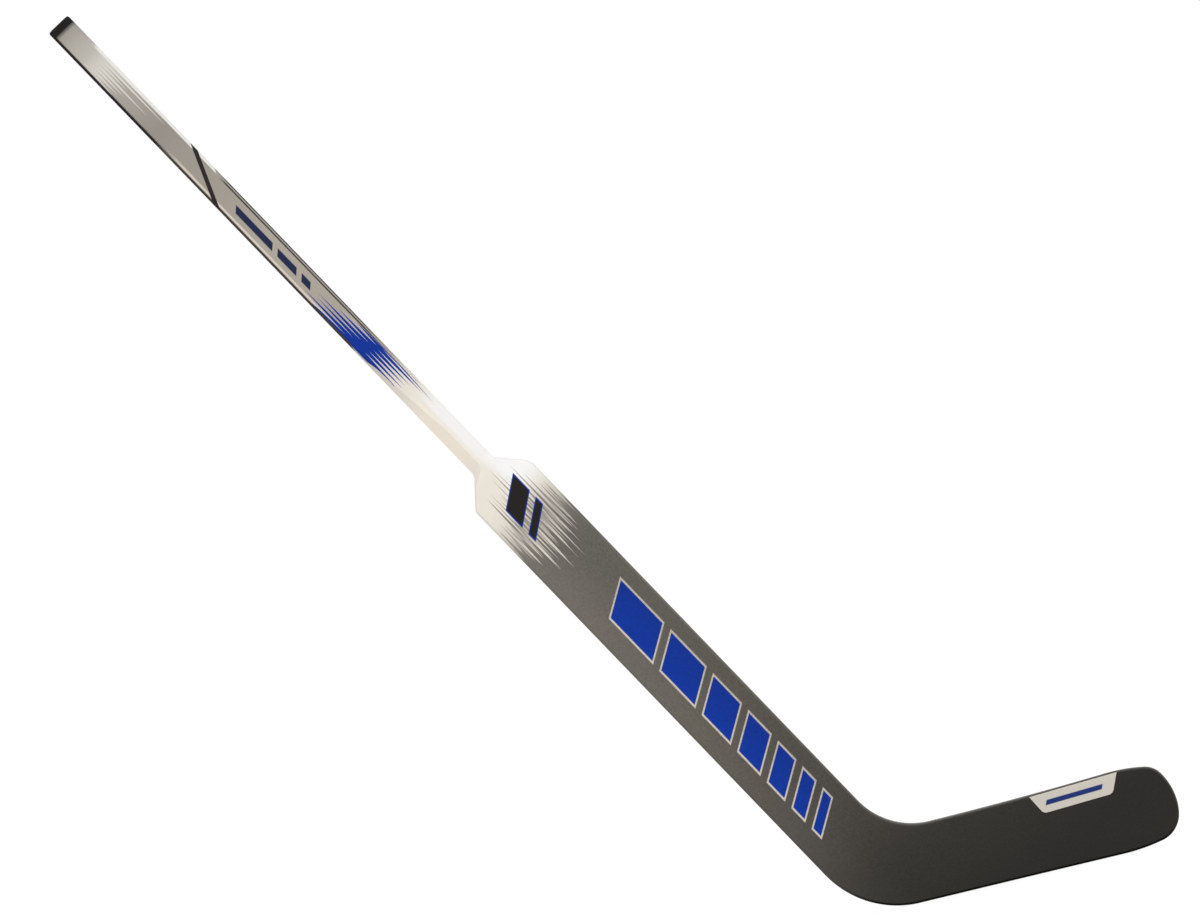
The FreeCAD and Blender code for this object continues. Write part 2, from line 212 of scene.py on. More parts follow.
# Shaft and neck
FILLET_STEPS = 4           # in each rounded corner of a section
BLEND_ROWS = 8             # between the plain shaft and the five-sided neck
SHOULDER_STEP = 2.0        # millimetres between two sections of the shoulders
CAP_STEPS = 6              # in the rounded edge of the butt plug


def shaft_corners(bevel_width, bevel_depth, toe=HALF_SHAFT, heel=HALF_SHAFT):
    """Eight corners of the shaft's section, as (across, depth), round from the front's toe side."""
    front = -SHAFT_THICKNESS / 2
    back = SHAFT_THICKNESS / 2
    return [
        (toe - bevel_width, front),
        (toe, front + bevel_depth),
        (toe, back - BACK_BEVEL),
        (toe - BACK_BEVEL, back),
        (BACK_BEVEL - heel, back),
        (-heel, back - BACK_BEVEL),
        (-heel, front + bevel_depth),
        (bevel_width - heel, front),
    ]


def slab_corners(toe, heel):
    """The same eight corners round the paddle's rectangle, two to each quarter-round rim."""
    step = RIM_RADIUS * (1.0 - math.tan(math.radians(22.5)))
    front = -PADDLE_THICKNESS / 2
    back = PADDLE_THICKNESS / 2
    return [
        (toe - step, front),
        (toe, front + step),
        (toe, back - step),
        (toe - step, back),
        (step - heel, back),
        (-heel, back - step),
        (-heel, front + step),
        (step - heel, front),
    ]


def box_corners(half_width, half_depth):
    """A plain rectangle in the same order, each of its corners counted twice."""
    once = [
        (half_width, -half_depth),
        (half_width, half_depth),
        (-half_width, half_depth),
        (-half_width, -half_depth),
    ]
    return [corner for corner in once for _ in range(2)]


def inset_corners(corners, inset):
    """Corners after each side is moved inwards."""
    moved = []
    count = len(corners)
    for i in range(count):
        before = Vector(corners[i]) - Vector(corners[i - 1])
        after = Vector(corners[(i + 1) % count]) - Vector(corners[i])
        before.normalize()
        after.normalize()
        normals = Vector((-before.y - after.y, before.x + after.x))
        moved.append(tuple(Vector(corners[i]) + normals * inset / (1.0 + before.dot(after))))
    return moved


def ring(corners, radius, height):
    """Points round a section at a height, each corner turned by a small arc."""
    points = []
    count = len(corners)
    for i in range(count):
        corner = Vector(corners[i])
        if not radius:
            points += [on_stick(height, *corner)] * (FILLET_STEPS + 1)
            continue
        to_last = (Vector(corners[i - 1]) - corner).normalized()
        to_next = (Vector(corners[(i + 1) % count]) - corner).normalized()
        half = to_last.angle(to_next) / 2
        centre = corner + (to_last + to_next).normalized() * radius / math.sin(half)
        start = corner + to_last * radius / math.tan(half) - centre
        end = corner + to_next * radius / math.tan(half) - centre
        for k in range(FILLET_STEPS + 1):
            spoke = start.normalized().slerp(end.normalized(), k / FILLET_STEPS) * radius
            points.append(on_stick(height, *(centre + spoke)))
    return points


def edge_offset(height, shoulder_radius):
    """Half width of the neck, shoulder or paddle at a height, with its rounded corners."""
    slope = math.tan(math.radians(SHOULDER_ANGLE))
    half_turn = math.tan(math.radians(SHOULDER_ANGLE / 2))
    turn = math.sin(math.radians(SHOULDER_ANGLE))
    outer_corner = NECK_HEIGHT - (HALF_PADDLE - HALF_SHAFT) / slope
    hollow = NECK_HEIGHT + NECK_RADIUS * half_turn - height
    crown = height - outer_corner + shoulder_radius * half_turn
    if hollow <= 0:
        return HALF_SHAFT
    if hollow <= NECK_RADIUS * turn:
        return HALF_SHAFT + NECK_RADIUS - math.sqrt(NECK_RADIUS ** 2 - hollow ** 2)
    if crown <= 0:
        return HALF_PADDLE
    if crown <= shoulder_radius * turn:
        return HALF_PADDLE - shoulder_radius + math.sqrt(shoulder_radius ** 2 - crown ** 2)
    return HALF_SHAFT + (NECK_HEIGHT - height) * slope


def stick_ring(height):
    """Section of the shaft, its five-sided neck or the shoulders at a height."""
    share = min(max((BLEND_HEIGHT + BLEND_LENGTH - height) / BLEND_LENGTH, 0.0), 1.0)
    toe = edge_offset(height, SHOULDER_TOE_RADIUS)
    heel = edge_offset(height, SHOULDER_HEEL_RADIUS)
    bevel_width = mix(BEVEL_WIDTH, HALF_SHAFT - RIDGE_WIDTH / 2, share) + max(toe, heel) - HALF_SHAFT
    bevel_depth = mix(BEVEL_DEPTH, RIDGE_DEPTH, share)
    fade = smooth(height, RIDGE_FADE_TOP, RIDGE_FADE_FOOT)
    faceted = shaft_corners(bevel_width, bevel_depth, toe, heel)
    flat = slab_corners(toe, heel)
    corners = [(mix(a, c, fade), mix(b, d, fade)) for (a, b), (c, d) in zip(faceted, flat)]
    return ring(corners, mix(SHAFT_CORNER, RIM_RADIUS, fade), height)


def build_shaft(material):
    """Shaft, neck and shoulders in one skin, with the tube's bore behind the butt end."""
    plain = shaft_corners(BEVEL_WIDTH, BEVEL_DEPTH)
    bore = inset_corners(plain, SHAFT_WALL)
    heights = [TUBE_END]
    heights += [BLEND_HEIGHT + BLEND_LENGTH * k / BLEND_ROWS for k in range(BLEND_ROWS, -1, -1)]
    height = NECK_HEIGHT + NECK_RADIUS
    while height > SEAM_HEIGHT:
        heights.append(height)
        height -= SHOULDER_STEP
    heights.append(SEAM_HEIGHT)
    rings = [ring(bore, 0.0, TUBE_END - BORE_DEPTH), ring(bore, 0.0, TUBE_END)]
    rings += [stick_ring(height) for height in heights]
    piece = wrap_tube("painted_shaft", rings)
    finish_piece(piece, material, "stick", "shaft_paint", "shaft_tube")


def build_butt_plug(material):
    """Cap with a rounded end, and the hollow stem under it."""
    plain = shaft_corners(BEVEL_WIDTH, BEVEL_DEPTH)
    stem = inset_corners(plain, SHAFT_WALL + STEM_CLEARANCE)
    stem_inset = SHAFT_WALL + STEM_CLEARANCE + STEM_WALL
    hollow = box_corners(HALF_SHAFT - stem_inset, SHAFT_THICKNESS / 2 - stem_inset)
    stem_foot = TUBE_END - STEM_LENGTH
    rings = []
    for k in range(CAP_STEPS + 1):
        angle = math.pi / 2 * (1.0 - k / CAP_STEPS)
        inset = CAP_EDGE * (1.0 - math.cos(angle))
        height = STICK_LENGTH - CAP_EDGE * (1.0 - math.sin(angle))
        corner = max(SHAFT_CORNER - inset, 0.0) if inset else SHAFT_CORNER
        rings.append(ring(inset_corners(plain, inset), corner, height))
    rings += [ring(plain, SHAFT_CORNER, TUBE_END), ring(stem, 0.0, TUBE_END), ring(stem, 0.0, stem_foot)]
    rings += [ring(hollow, 0.0, stem_foot), ring(hollow, 0.0, TUBE_END)]
    piece = wrap_tube("moulded_butt_plug", rings)
    finish_piece(piece, material, "plug", "plug_plastic", "butt_plug")


# Paddle and blade
TURN_STEP = 2.0            # most degrees of an arc between two points of the outline
PADDLE_STEP = 50.0         # millimetres between two cuts across the paddle
PADDLE_CUTS = 9
BLADE_STEP = 12.0          # millimetres between two cuts across the bent blade, and on its outline
RIM_SEGMENTS = 8           # in the rounded rim

RIM_HIGHLIGHT_FROM = 53.0         # heading of the edges that face the light, up and to the toe, where the rim gets a painted highlight
RIM_HIGHLIGHT_SHARE = 3.5         # how strong the painted highlight is
RIM_HIGHLIGHT_POWER = 4           # the higher, the closer to the outer edge
SOLE_SHADE_STEEPNESS = (0.1, 0.5)    # how far the rim has turned from the face, from no painted shade to full painted shade
SOLE_SHADE_DOWNWARD = (0.6, 0.95)    # how far the rim faces down, from no painted shade to full painted shade

LABEL_CORNER_STEPS = 6
LABEL_CUTS = 20            # cuts each way, so that the film can follow the blade
LABEL_GLUE = 0.1           # between the film and the paint
LABEL_AHEAD = 100.0        # how far in front the film starts, before it is laid on


def follow(start, angle, path):
    """Points along a path of (radius, turn) arcs and (length, None) lines, and its last heading."""
    points = [start]
    for size, turn in path:
        origin = points[-1]
        if turn is None:
            points.append(origin + heading(angle) * size)
            continue
        length = size * math.radians(abs(turn))
        steps = math.ceil(max(length / BLADE_STEP, abs(turn) / TURN_STEP))
        side = math.copysign(90.0, turn)
        centre = origin + heading(angle + side) * size
        for k in range(1, steps + 1):
            points.append(centre - heading(angle + side + turn * k / steps) * size)
        angle += turn
    return points, angle


def solve(vector, first, second):
    """How far to go along two directions of the XZ plane to make a vector."""
    cross = first.x * second.z - first.z * second.x
    along_first = (vector.x * second.z - vector.z * second.x) / cross
    along_second = (first.x * vector.z - first.z * vector.x) / cross
    return along_first, along_second


def skin_outline():
    """Outline of the front face: down the heel side from the seam, along the sole, round the toe, back."""
    low_toe = [TOE_LOW_SWEEP, TOE_LOW_ROUND, TOE_LOW_TIP]
    top_toe = [TOE_TOP_TIP, TOE_TOP_ROUND, TOE_TOP_SWEEP]
    heel_run = HEEL_RADIUS * math.tan(math.radians(LIE_ANGLE / 2))
    toe_run = follow(Vector(), 0.0, low_toe)[0][-1].x
    sole = BLADE_LENGTH - heel_run - toe_run
    path = [(SEAM_HEIGHT - heel_run, None), (HEEL_RADIUS, LIE_ANGLE), (sole, None)]
    start = on_stick(SEAM_HEIGHT, -HALF_PADDLE, -PADDLE_THICKNESS / 2)
    outline, angle = follow(start, -LIE_ANGLE, path + low_toe + top_toe)

    # the hollow of the top edge and the paddle's toe-side edge are as long as it takes to reach the seam
    unit_hollow, crotch_angle = follow(Vector(), angle, [(1.0, -TOP_ANGLE)])
    crotch_turn = 180.0 - LIE_ANGLE - crotch_angle
    crotch = follow(Vector(), crotch_angle, [(CROTCH_RADIUS, crotch_turn)])[0]
    left = on_stick(SEAM_HEIGHT, HALF_PADDLE) - outline[-1] - crotch[-1]
    hollow, toe_line = solve(left, unit_hollow[-1], ALONG)
    way_back = [(hollow, -TOP_ANGLE), (CROTCH_RADIUS, crotch_turn), (toe_line, None)]
    return outline + follow(outline[-1], angle, way_back)[0][1:]


def face_depth(x, side):
    """Depth of the front (side -1) or back (side 1) face: flat, then an arc that bends to the toe."""
    flat = side * PADDLE_THICKNESS / 2
    bend = CURVE_DEPTH - side * (TOE_THICKNESS - PADDLE_THICKNESS) / 2
    run = TOE_X - CURVE_START
    radius = (run ** 2 + bend ** 2) / (2 * bend)
    beyond = max(x - CURVE_START, 0.0)
    return flat - radius + math.sqrt(radius ** 2 - beyond ** 2)


def mark_rim_highlight_and_shade(piece):
    """Marks the rounded rim: above 0 for a painted highlight where it faces the light, right and above, and
    down to -1 for painted shade along the sole.
    """
    rim_light_marks = piece.data.attributes.new("rim_highlight_and_shade", "FLOAT", "POINT")
    for vertex, mark in zip(piece.data.vertices, rim_light_marks.data):
        outward = Vector((vertex.normal.x, 0.0, vertex.normal.z))
        steepness = outward.length
        outward.normalize()
        facing_light = max(outward.dot(heading(RIM_HIGHLIGHT_FROM)), 0.0)
        # painted highlight: strongest where the rim faces the light, up and to the toe
        rim_highlight = RIM_HIGHLIGHT_SHARE * abs(vertex.normal.y) * steepness ** RIM_HIGHLIGHT_POWER * facing_light
        # painted shade along the sole's rim, which faces down and away from the light
        sole_shade = smooth(steepness, *SOLE_SHADE_STEEPNESS) * smooth(-outward.z, *SOLE_SHADE_DOWNWARD)
        mark.value = rim_highlight - sole_shade


def round_rim(piece):
    """Rounds the slab's edges round the front and back faces, all but those at the seam."""
    bpy.ops.mesh.select_all(action="DESELECT")
    bpy.ops.mesh.select_mode(type="EDGE")
    seam = on_stick(SEAM_HEIGHT).dot(ALONG) * MM
    for edge in bmesh.from_edit_mesh(piece.data).edges:
        first, second = edge.verts
        round_the_face = abs(first.co.y - second.co.y) < TOUCH * MM
        at_seam = all(abs(vertex.co.dot(ALONG) - seam) < TOUCH * MM for vertex in edge.verts)
        if round_the_face and not at_seam:
            edge.select_set(True)
    bmesh.update_edit_mesh(piece.data)
    bpy.ops.mesh.bevel(offset=RIM_RADIUS * MM, segments=RIM_SEGMENTS, profile=0.5, affect="EDGES")


def bend_blade(piece):
    """Cuts the slab across in strips, and bends it forward towards the toe."""
    cuts = [(on_stick(SEAM_HEIGHT - k * PADDLE_STEP), ALONG) for k in range(1, PADDLE_CUTS + 1)]
    for k in range(math.ceil((TOE_X - CURVE_START) / BLADE_STEP) - 1):
        cuts.append((Vector((CURVE_START + k * BLADE_STEP, 0.0, 0.0)), heading(0.0)))
    for point, normal in cuts:
        bpy.ops.mesh.select_all(action="SELECT")
        bpy.ops.mesh.bisect(plane_co=point * MM, plane_no=normal)
    for vertex in bmesh.from_edit_mesh(piece.data).verts:
        side = math.copysign(1.0, vertex.co.y)
        vertex.co.y += (face_depth(vertex.co.x / MM, side) - side * PADDLE_THICKNESS / 2) * MM
    bmesh.update_edit_mesh(piece.data)


def build_skin(material):
    """Paddle and blade: the outline thickened, rounded along its rim and bent towards the toe."""
    piece = new_disc("painted_skin", skin_outline())
    edit(piece)
    bpy.ops.mesh.select_all(action="SELECT")
    bpy.ops.mesh.extrude_region_move(TRANSFORM_OT_translate={"value": DEPTH * PADDLE_THICKNESS * MM})
    bpy.ops.mesh.select_all(action="SELECT")
    bpy.ops.mesh.normals_make_consistent(inside=False)
    round_rim(piece)
    bend_blade(piece)
    bpy.ops.object.mode_set(mode="OBJECT")
    finish_piece(piece, material, "stick", "skin_paint", "front_skin", "back_skin")
    # marks where the rim gets its painted highlight and its painted shade
    mark_rim_highlight_and_shade(piece)
    return piece


def build_label(material, skin):
    """Film laid on the blade's front, with its lower corners rounded, following the rounded top edge."""
    along = heading(LABEL_TILT)
    up = heading(LABEL_TILT + 90.0)
    top_right = Vector((LABEL_TOP_RIGHT[0], -LABEL_AHEAD, LABEL_TOP_RIGHT[1]))
    side = (LABEL_TOP_LENGTH - LABEL_BOTTOM_LENGTH) / 2
    top_left = top_right - along * LABEL_TOP_LENGTH
    low_left = top_left + along * side - up * LABEL_HEIGHT
    low_right = low_left + along * LABEL_BOTTOM_LENGTH
    piece = new_grid("blank_label", [[low_left, low_right], [top_left, top_right]])
    mesh = edit(piece)
    lowest_two = sorted(mesh.verts, key=lambda vertex: vertex.co.dot(up))[:2]
    for vertex in lowest_two:
        vertex.select_set(True)
    bpy.ops.mesh.bevel(
        offset=LABEL_CORNER * MM, segments=LABEL_CORNER_STEPS, affect="VERTICES", offset_type="OFFSET"
    )
    runs = ((low_left - along * side, along, LABEL_TOP_LENGTH), (low_left, up, LABEL_HEIGHT))
    for k in range(1, LABEL_CUTS):
        for origin, normal, run in runs:
            bpy.ops.mesh.select_all(action="SELECT")
            bpy.ops.mesh.bisect(plane_co=(origin + normal * run * k / LABEL_CUTS) * MM, plane_no=normal)
    bpy.ops.object.mode_set(mode="OBJECT")
    apply_modifier(piece, "SHRINKWRAP", target=skin, wrap_method="PROJECT", use_project_y=True,
                   use_positive_direction=True, use_negative_direction=False, offset=LABEL_GLUE * MM)
    apply_modifier(piece, "SOLIDIFY", thickness=LABEL_THICKNESS * MM, offset=1.0)
    finish_piece(piece, material, "stick", "label_film", "blade_label")


# Materials
SOFT_EDGE = 0.5            # millimetres to either side of a painted edge, over which it fades
STREAK_EDGE = 1.5          # the same for brushed streaks
PAINT_LENGTH = 1500.0      # from the butt end to past the toe, down the stick
THIN_COAT = 0.7            # how well a thin coat covers
NOISE_RANGE = {"From Min": 0.3, "From Max": 0.7}   # where nearly all of a noise lies

BLACK = "#191714"
BLUE = "#003095"
NAVY = "#1b2547"
CREAM = "#f4ede2"
OUTLINE = "#c6bdb1"
SHAFT_TONES = [
    (15.0, "#a59f96"), (35.0, "#b8b3aa"), (60.0, "#c6c1b8"), (95.0, "#aea8a0"), (160.0, "#989189"),
    (195.0, "#9f988f"), (260.0, "#a59d92"), (330.0, "#b0a89c"), (440.0, "#ada59a"), (500.0, "#cac3b9"),
    (545.0, "#e8e1d6"), (600.0, CREAM), (660.0, CREAM), (690.0, "#efe8dc"),
]
# graphite that fades darker down to the toe; the darkest tones on the blade are partly painted shade, where
# its face turns away from the light
GRAPHITE_FADE_AND_SHADE = [
    (700.0, "#726d66"), (815.0, "#67635c"), (950.0, "#625e57"), (1050.0, "#5c5850"), (1150.0, "#524d47"),
    (1200.0, "#4d4944"), (1230.0, "#48443f"), (1260.0, "#413d38"), (1300.0, "#35332e"),
    (1365.0, "#2d2b27"), (1426.0, "#262421"), (1480.0, "#252420"),
]


def colour(hex_value):
    """Linear colour of an sRGB hex value."""
    channels = [int(hex_value[i:i + 2], 16) / 255.0 for i in (1, 3, 5)]
    linear = [c / 12.92 if c <= 0.04045 else ((c + 0.055) / 1.055) ** 2.4 for c in channels]
    return (*linear, 1.0)


def add(tree, kind, inputs=None, **settings):
    """Adds a node with its settings, and links or sets its inputs."""
    node = tree.nodes.new(kind)
    for name, value in settings.items():
        setattr(node, name, value)
    for key, value in (inputs or {}).items():
        if isinstance(value, bpy.types.NodeSocket):
            tree.links.new(value, node.inputs[key])
        else:
            node.inputs[key].default_value = value
    return node


def new_material(name):
    """An empty material, and its node tree."""
    material = bpy.data.materials.new(name)
    material.use_nodes = True
    material.node_tree.nodes.clear()
    return material, material.node_tree


def where(tree, *limits):
    """Mask where all limits hold: each is a mask, or a value and the places between which it fades in."""
    mask = None
    for limit in limits:
        if isinstance(limit, tuple):
            fade = dict(zip(("Value", "From Min", "From Max"), limit))
            limit = add(tree, "ShaderNodeMapRange", fade, interpolation_type="SMOOTHSTEP").outputs["Result"]
        if mask is None:
            mask = limit
        else:
            mask = add(tree, "ShaderNodeMath", {0: mask, 1: limit}, operation="MULTIPLY").outputs[0]
    return mask


def within(tree, value, low, high, soft=SOFT_EDGE):
    """Mask of a band of values, with soft edges."""
    return where(tree, (value, low - soft, low + soft), (value, high + soft, high - soft))


def coat(tree, under, over, *limits):
    """One coat of paint over another, where all the limits hold."""
    layers = {"Factor": where(tree, *limits), 6: under, 7: over}
    return add(tree, "ShaderNodeMix", layers, data_type="RGBA").outputs[2]


def place_from(tree, origin, tilt):
    """Millimetres from an origin, with the axes turned about Y: the place, and its X, Z and Y alone."""
    turn = Matrix.Rotation(math.radians(tilt), 3, "Y")
    place = add(tree, "ShaderNodeMapping", {
        "Vector": add(tree, "ShaderNodeTexCoord").outputs["Object"],
        "Location": -(turn @ origin),
        "Rotation": (0.0, math.radians(tilt), 0.0),
        "Scale": (1.0 / MM, 1.0 / MM, 1.0 / MM),
    }).outputs[0]
    split = add(tree, "ShaderNodeSeparateXYZ", {0: place})
    return place, split.outputs["X"], split.outputs["Z"], split.outputs["Y"]


def stick_place(tree):
    """Place on the stick: how far down from the butt end, across to the toe side, and back."""
    return place_from(tree, on_stick(STICK_LENGTH), -LIE_ANGLE)


def leaning(tree, down, across, slant):
    """How far down the stick, counted along lines that lean across it."""
    lean = {0: across, 1: slant, 2: down}
    return add(tree, "ShaderNodeMath", lean, operation="MULTIPLY_ADD").outputs[0]


def streaks(tree, round_edge, spacing, seed, shortest):
    """Pointed streaks side by side along the stick: 0 between two, up to 1 in the middle of the longest."""
    lanes = {0: round_edge, 1: 1.0 / spacing, 2: seed}
    lane = add(tree, "ShaderNodeMath", lanes, operation="MULTIPLY_ADD").outputs[0]
    number = add(tree, "ShaderNodeMath", {0: lane}, operation="FLOOR").outputs[0]
    chance = add(tree, "ShaderNodeTexWhiteNoise", {"W": number}, noise_dimensions="1D").outputs["Value"]
    lengths = {"Value": chance, "To Min": 2.0 * shortest, "To Max": 2.0}
    length = add(tree, "ShaderNodeMapRange", lengths).outputs["Result"]
    half = add(tree, "ShaderNodeMath", {0: lane, 1: 0.5}, operation="PINGPONG").outputs[0]
    return add(tree, "ShaderNodeMath", {0: length, 1: half}, operation="MULTIPLY").outputs[0]


def brushed(tree, down, place, lanes, reach):
    """Mask below a place, with streaks that point up from it; with a negative reach, above it and down."""
    tips = add(tree, "ShaderNodeMath", {0: lanes, 1: reach, 2: down}, operation="MULTIPLY_ADD").outputs[0]
    soft = math.copysign(STREAK_EDGE, reach)
    return where(tree, (tips, place - soft, place + soft))


def slanted_bar(tree, down, across, bar, grow=0.0):
    """Mask of a (start, end, low, high, slant) bar along the stick, grown on all sides for an outline."""
    start, end, low, high, slant = bar
    length = within(tree, leaning(tree, down, across, slant), start - grow, end + grow)
    return where(tree, length, within(tree, across, low - grow, high + grow))


def fade_down(tree, down, tones):
    """Paint that fades from colour to colour at places down the stick."""
    share = add(tree, "ShaderNodeMath", {0: down, 1: PAINT_LENGTH}, operation="DIVIDE").outputs[0]
    ramp = add(tree, "ShaderNodeValToRGB", {"Fac": share})
    band = ramp.color_ramp
    while len(band.elements) < len(tones):
        band.elements.new(0.5)
    for element, (place, hex_value) in zip(band.elements, tones):
        element.position = place / PAINT_LENGTH
        element.color = colour(hex_value)
    return ramp.outputs["Color"]


def shaft_coat(tree, down, across, round_edge):
    """Silver, grey and cream of the shaft, with blue brush streaks above the neck."""
    paint = fade_down(tree, down, SHAFT_TONES)
    pale = brushed(tree, down, 62.0, streaks(tree, round_edge, 3.7, 0.3, 0.3), -112.0)
    paint = coat(tree, paint, colour("#dbd7cf"), (down, 45.0, 75.0), pale)

    # pale strip on the heel side
    strip = within(tree, across, -11.4, -9.0, 0.7)
    paint = coat(tree, paint, colour("#e0d6c8"), strip, within(tree, down, 195.0, 450.0, 20.0))

    # the neck's heel-side half in warm cream; its toe-side half and the shoulder on the toe side whiter, a
    # painted highlight where those facets face the light
    neck = within(tree, down, 575.0, 665.0, 25.0)
    paint = coat(tree, paint, colour("#fbf1e1"), (across, 0.5, -3.0), neck)
    paint = coat(tree, paint, colour("#fbfaf8"), (across, -0.5, 5.0), neck)
    shoulder = within(tree, down, 655.0, 722.0, 22.0)
    paint = coat(tree, paint, colour("#fdfcfb"), (across, -2.0, 14.0), shoulder)

    # blue, brushed out both ways
    steep = leaning(tree, down, across, -2.0)
    flat = leaning(tree, down, across, -0.6)
    upper = brushed(tree, steep, 482.0, streaks(tree, round_edge, 4.1, 10.2, 0.35), 92.0)
    lower = brushed(tree, flat, 498.0, streaks(tree, round_edge, 4.1, 40.7, 0.55), -86.0)
    return coat(tree, paint, colour(BLUE), upper, lower, within(tree, across, -12.8, 12.4))


def shaft_lines(tree, paint, down, across, round_edge):
    """Edge lines, the slanted band and the black butt end."""
    # toe side: a white bevel down to the slanted band, then a grey one between dark lines
    above_band = (leaning(tree, down, across, 2.0), 264.0, 260.0)
    paint = coat(tree, paint, colour("#f0eeea"), (across, 11.1, 11.8), (down, 40.0, 52.0), above_band)
    points = streaks(tree, round_edge, 4.0, 5.5, 0.4)
    grey_end = brushed(tree, down, 496.0, points, -60.0)
    paint = coat(tree, paint, colour("#a39d94"), (across, 10.6, 11.0), (down, 240.0, 254.0), grey_end)
    above_neck = brushed(tree, down, 462.0, points, -60.0)
    for low, high in ((10.3, 11.9), (13.4, 15.0)):
        line = within(tree, across, low, high, 0.25)
        paint = coat(tree, paint, colour("#3a3733"), line, (down, 242.0, 256.0), above_neck)

    # heel side: a black edge, then a thinner dark one
    paint = coat(tree, paint, colour(BLACK), (across, -10.9, -11.7), (down, 205.0, 165.0))
    paint = coat(tree, paint, colour("#3f3832"), (across, -11.3, -12.1), (down, 160.0, 200.0), above_neck)

    slanted_band = within(tree, leaning(tree, down, across, 2.34), 228.4, 240.4, 0.8)
    paint = coat(tree, paint, colour("#24211e"), slanted_band)
    return coat(tree, paint, colour(BLACK), (down, 15.0, 7.5))


def paddle_coat(tree, paint, down, across, round_edge):
    """Graphite of the paddle and blade, which starts in streaks below the shoulders."""
    # the graphite fade, darker on the blade partly as painted shade
    graphite = fade_down(tree, down, GRAPHITE_FADE_AND_SHADE)
    paint = coat(tree, paint, graphite, (down, 710.0, 812.0))

    # the streaks, dark and then pale, are longest in the paddle's middle
    square = add(tree, "ShaderNodeMath", {0: across, 1: across}, operation="MULTIPLY").outputs[0]
    arch = {0: square, 1: -0.0004, 2: 1.0}
    middle = add(tree, "ShaderNodeMath", arch, operation="MULTIPLY_ADD").outputs[0]
    for spacing, seed, shortest in ((4.9, 70.1, 0.45), (3.1, 91.6, 0.3)):
        lanes = where(tree, streaks(tree, round_edge, spacing, seed, shortest), middle)
        paint = coat(tree, paint, graphite, brushed(tree, down, 786.0, lanes, 118.0), THIN_COAT)
    for spacing, seed, shortest in ((5.9, 20.4, 0.6), (3.4, 11.8, 0.4)):
        lanes = where(tree, streaks(tree, round_edge, spacing, seed, shortest), middle)
        points = brushed(tree, down, 734.0, lanes, -98.0)
        paint = coat(tree, paint, colour("#ddd6ca"), points, (down, 740.0, 800.0), (down, 885.0, 770.0))
    return paint


def plain_bars(tree, paint, down, across):
    """Slanted bars: navy on the shaft, black edged with blue on the shoulders, blue down the paddle."""
    for start, end in ((282.0, 340.0), (348.0, 378.0), (386.0, 400.0)):
        bar = (start, end, -3.5, 3.5, 0.9)
        paint = coat(tree, paint, colour(NAVY), slanted_bar(tree, down, across, bar))
    for start, end in ((716.0, 740.0), (752.0, 761.0)):
        bar = (start, end, -15.0, 17.0, 0.7)
        paint = coat(tree, paint, colour(BLUE), slanted_bar(tree, down, across, bar, 1.4))
        paint = coat(tree, paint, colour(BLACK), slanted_bar(tree, down, across, bar))
    start = 882.0
    gap = 14.0
    for length in (66.0, 53.0, 42.0, 33.0, 25.0, 18.0, 12.0):
        bar = (start, start + length, -15.0, 22.0, 0.6)
        paint = coat(tree, paint, colour(OUTLINE), slanted_bar(tree, down, across, bar, 2.1))
        paint = coat(tree, paint, colour(BLUE), slanted_bar(tree, down, across, bar))
        start += length + gap
    return paint


def paint_rim_highlight_and_shade(tree, paint, down):
    """Paint made paler along the upper edges as a painted highlight and near black along the sole as painted
    shade, and how strong that shade is there.
    """
    rim_light_marks = add(tree, "ShaderNodeAttribute", attribute_name="rim_highlight_and_shade").outputs["Fac"]
    # painted highlight: paler paint on the rim where it faces the light
    rim_highlight = add(tree, "ShaderNodeMath", {0: rim_light_marks, 1: 0.4}, operation="MULTIPLY", use_clamp=True).outputs[0]
    paint = coat(tree, paint, colour("#9f9a92"), rim_highlight, (down, 780.0, 860.0))
    # painted shade: near-black paint along the sole's rim
    sole_shade = add(tree, "ShaderNodeMath", {0: rim_light_marks, 1: -0.9}, operation="MULTIPLY", use_clamp=True).outputs[0]
    return coat(tree, paint, colour("#080807"), sole_shade), sole_shade


def fleck_value(tree, fleck, grey, across):
    """How bright the paint is: flecked where it is grey, and with painted shade there that darkens it
    towards the toe side.
    """
    least = add(tree, "ShaderNodeMath", {0: grey, 1: -0.15, 2: 0.99}, operation="MULTIPLY_ADD").outputs[0]
    most = add(tree, "ShaderNodeMath", {0: grey, 1: 0.15, 2: 1.01}, operation="MULTIPLY_ADD").outputs[0]
    spread = {"Value": fleck, **NOISE_RANGE, "To Min": least, "To Max": most}
    flecked = add(tree, "ShaderNodeMapRange", spread).outputs["Result"]
    # painted light and shade across the grey: lifted overall, then darker from the heel-side edge to 25 mm
    # over to the toe side
    lifted = add(tree, "ShaderNodeMath", {0: grey, 1: 0.25, 2: flecked}, operation="MULTIPLY_ADD").outputs[0]
    toe_side_shade = where(tree, grey, (across, -HALF_PADDLE, 25.0))
    shaded = {0: toe_side_shade, 1: -0.32, 2: lifted}
    return add(tree, "ShaderNodeMath", shaded, operation="MULTIPLY_ADD").outputs[0]


